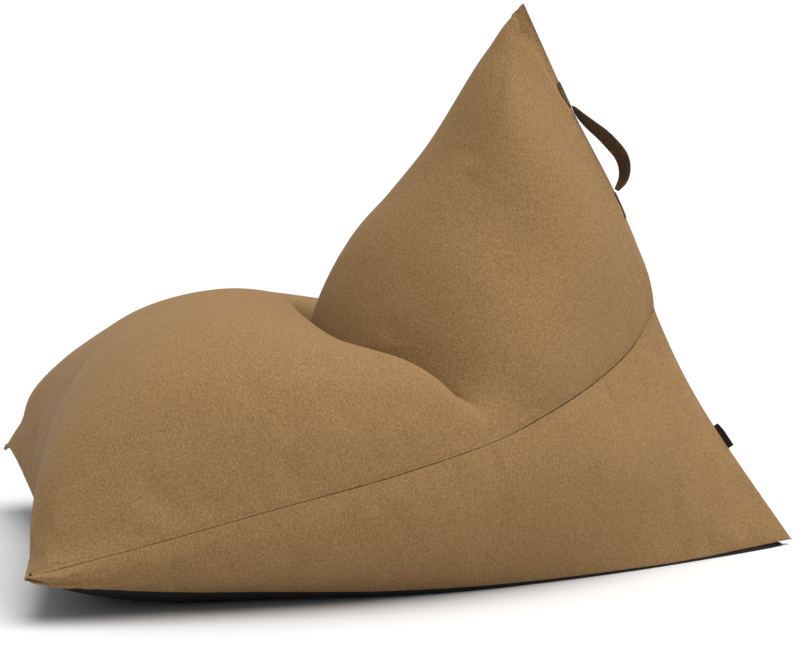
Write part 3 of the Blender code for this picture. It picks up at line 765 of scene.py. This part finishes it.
def webbing(name, centres, across, normals, material):
    """A flat woven strap with soft edges, from its centre line, width and face directions."""
    half_width, half_depth = HANDLE_WIDTH / 2, HANDLE_THICKNESS / 2
    section = [(math.copysign(abs(math.cos(turn)) ** STRAP_FLATNESS, math.cos(turn)) * half_width,
                math.copysign(abs(math.sin(turn)) ** STRAP_EDGE, math.sin(turn)) * half_depth)
               for turn in np.linspace(0.0, 2 * math.pi, STRAP_SIDES, endpoint=False)]
    mesh = bpy.data.meshes.new(name)
    work = bmesh.new()
    cloth = work.verts.layers.float_vector.new("cloth")
    rings = []
    travelled = 0.0
    for i, (centre, side, up) in enumerate(zip(centres, across, normals)):
        travelled += float(np.linalg.norm(centre - centres[i - 1])) if i else 0.0
        ring = []
        for x, height in section:
            vertex = work.verts.new(centre + side * x + up * height)
            vertex[cloth] = (x, travelled, height)
            ring.append(vertex)
        rings.append(ring)
    join_rings(work, rings)
    bmesh.ops.recalc_face_normals(work, faces=work.faces)
    work.to_mesh(mesh)
    work.free()
    mesh.shade_smooth()
    return link(name, mesh, material)


def carry_strap(halves, upper, materials):
    """The loop, which twists as it hangs, and its two ends sewn down over the rear seam."""
    seam = halves[1][:seam_index() + 1, -1]
    first, _ = seam_point(seam, HANDLE_DROP + ROOT_GAP)
    last, _ = seam_point(seam, HANDLE_DROP + HANDLE_SPAN - ROOT_GAP)
    out = outward(unit(last - first))
    route = smooth_route(LOOP_ROUTE, ROUTE_STEPS)
    base = HANDLE_THICKNESS / 2 + ROOT_LIFT
    centres = np.array([first + (last - first) * along + out * (base + (HANDLE_STAND_OFF - base) * height)
                        for along, height in route])
    tangent = unit(np.gradient(centres, axis=0))
    shares = np.linspace(0.0, 1.0, len(centres))
    side = np.array((1.0, 0.0, 0.0))
    across, normals = [], []
    for direction, share in zip(tangent, shares):
        turn = math.radians(STRAP_TWIST) * math.sin(math.pi * share) ** TWIST_BLEND
        up = outward(direction)
        across.append(side * math.cos(turn) + up * math.sin(turn))
        normals.append(up * math.cos(turn) - side * math.sin(turn))
    loop = webbing("carry_strap_loop", centres, across, normals, materials["strap_webbing"])
    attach(loop, "handle")
    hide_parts("handle_loop")
    tree = surface_tree(upper)
    for label, start in (("upper", HANDLE_DROP - TAIL_LENGTH), ("lower", HANDLE_DROP + HANDLE_SPAN)):
        tail = sewn_tail("carry_strap_end_" + label, seam, start, tree, materials["strap_webbing"])
        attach(tail, BODY)
        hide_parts("handle_tail_" + label)
        stitch_box("strap_stitches_" + label, tail, seam, start, materials["sewing_thread"])


def sewn_tail(name, seam, start, tree, material):
    """A strap end bent over the seam's ridge, flat on the cloth at both sides."""
    grid = np.zeros((TAIL_COLUMNS, TAIL_ROWS, 3))
    for row, distance in enumerate(np.linspace(start, start + TAIL_LENGTH, TAIL_ROWS)):
        place, direction = seam_point(seam, distance)
        up = outward(direction)
        for column, x in enumerate(np.linspace(-HANDLE_WIDTH / 2, HANDLE_WIDTH / 2, TAIL_COLUMNS)):
            target = place + np.array((x, 0.0, 0.0)) + up * TAIL_REACH
            spot, normal, _, _ = tree.find_nearest(Vector(target))
            lift = np.array(normal)
            if lift.dot(up) < 0:
                lift = -lift
            grid[column, row] = np.array(spot) + unit(lift + up) * (HANDLE_THICKNESS * TAIL_SHARE)
    for _ in range(TAIL_SMOOTHING):
        grid[1:-1] = (grid[:-2] + 2 * grid[1:-1] + grid[2:]) / 4
    return grid_object(name, grid, material, thickness=HANDLE_THICKNESS * TAIL_SHARE)


def stitch_box(name, tail, seam, start, material):
    """Two cross rows of thread that sew a strap end down."""
    tree = surface_tree(tail)
    reach = HANDLE_WIDTH / 2 - CROSS_STITCH_MARGIN
    span = np.linspace(-reach, reach, CROSS_STITCH_POINTS)
    distances = (start + CROSS_STITCH_INSET, start + TAIL_LENGTH - CROSS_STITCH_INSET)
    for number, distance in enumerate(distances, start=1):
        place, direction = seam_point(seam, distance)
        above = place + outward(direction) * CROSS_STITCH_LIFT
        line = np.array([above + np.array((x, 0.0, 0.0)) for x in span])
        row = stitch_row(name + f"_{number}", line, tree, material, 0.0, 0.0)
        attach(row, BODY)


def seam_label(halves, materials):
    """Blank ribbon tab, folded and caught in the lower rear seam."""
    seam = halves[1][seam_index():bottom_index() + 1, -1]
    near, _ = seam_point(seam, LABEL_DROP - LABEL_LENGTH / 2)
    far, _ = seam_point(seam, LABEL_DROP + LABEL_LENGTH / 2)
    down = unit(far - near)
    out = outward(down)
    mesh = bpy.data.meshes.new("label_tab")
    work = bmesh.new()
    rings = []
    for along in np.linspace(0.0, 1.0, LABEL_STEPS):
        growth = min(1.0, along / LABEL_END_RUN) ** 0.6
        proud = LABEL_PROUD * (LABEL_END_SHARE + (1.0 - LABEL_END_SHARE) * growth)
        lean = LABEL_SWAY * math.sin(LABEL_SWAY_TURN * along)
        centre = near + down * along * LABEL_LENGTH
        low = proud * LABEL_SHOULDER
        outline = [(-0.5, -LABEL_ROOT), (-0.5, low), (-0.3, proud), (0.3, proud), (0.5, low),
                   (0.5, -LABEL_ROOT), (0.0, -LABEL_ROOT)]
        ring = []
        for x, height in outline:
            sway = lean * max(height, 0.0) / LABEL_PROUD
            spot = centre + out * height + np.array((x * LABEL_THICKNESS + sway, 0.0, 0.0))
            ring.append(work.verts.new(spot))
        rings.append(ring)
    join_rings(work, rings)
    bmesh.ops.recalc_face_normals(work, faces=work.faces)
    work.to_mesh(mesh)
    work.free()
    piece = link("label_tab", mesh, materials["label_ribbon"])
    bevel = piece.modifiers.new("soft", "BEVEL")
    bevel.width = LABEL_ROUNDING
    bevel.segments = 2
    mesh.shade_smooth()
    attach(piece, BODY)
    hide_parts("seam_label")


# ---------------------------------------------------------------- stage

def add_camera():
    """The camera at the photograph's viewing angle."""
    data = bpy.data.cameras.new("camera")
    data.sensor_width = SENSOR_WIDTH
    data.lens = FOCAL_PIXELS * SENSOR_WIDTH / IMAGE_WIDTH
    data.clip_end = 100.0
    camera = bpy.data.objects.new("camera", data)
    azimuth, elevation = math.radians(CAMERA_AZIMUTH), math.radians(CAMERA_ELEVATION)
    back = Vector((math.sin(azimuth) * math.cos(elevation), -math.cos(azimuth) * math.cos(elevation),
                   math.sin(elevation)))
    camera.location = Vector(CAMERA_TARGET) + back * CAMERA_DISTANCE
    camera.rotation_euler = back.to_track_quat("Z", "Y").to_euler()
    bpy.context.scene.collection.objects.link(camera)
    bpy.context.scene.camera = camera


def add_stage():
    """Pale floor, white surroundings and one soft light."""
    bpy.ops.mesh.primitive_plane_add(size=FLOOR_SIZE, location=(0.0, 0.0, -FLOOR_DROP))
    floor = bpy.context.object
    floor.name = "floor"
    graph = Graph("pale_floor")
    pale = (FLOOR_GREY, FLOOR_GREY, FLOOR_GREY, 1.0)
    floor.data.materials.append(graph.finish(Base_Color=pale, Roughness=FLOOR_ROUGHNESS))
    world = bpy.data.worlds.new("studio")
    world.use_nodes = True
    background = world.node_tree.nodes["Background"]
    background.inputs["Color"].default_value = (1.0, 1.0, 1.0, 1.0)
    background.inputs["Strength"].default_value = WORLD_LIGHT
    bpy.context.scene.world = world
    data = bpy.data.lights.new("key", "SUN")
    data.energy = KEY_LIGHT
    data.angle = math.radians(KEY_SPREAD)
    key = bpy.data.objects.new("key", data)
    key.rotation_euler = Vector(KEY_FROM).to_track_quat("Z", "Y").to_euler()
    bpy.context.scene.collection.objects.link(key)
    view = bpy.context.scene.view_settings
    view.view_transform = "Standard"
    view.look = "None"


def main():
    """Builds every piece, and gives the zips, which stay as CAD, their materials."""
    materials = make_materials()
    add_camera()
    add_stage()
    halves = {side: bag_half(side) for side in (1, -1)}
    halves = inflate(halves)
    upper = cover(halves, materials)
    topstitching(halves, upper, materials)
    carry_strap(halves, upper, materials)
    seam_label(halves, materials)
    inner_layer("liner_bag", "inner_liner", LINER_LAYER, materials["liner_fabric"])
    inner_layer("bead_mass", "bead_filling", BEAD_LAYER, materials["filling_beads"])
    slots = {part["node"]: part["material_slot"] for part in frame["record"]["subparts"]}
    for name, node in frame["nodes"].items():
        node.data.materials.clear()
        node.data.materials.append(materials[slots[name]])


main()
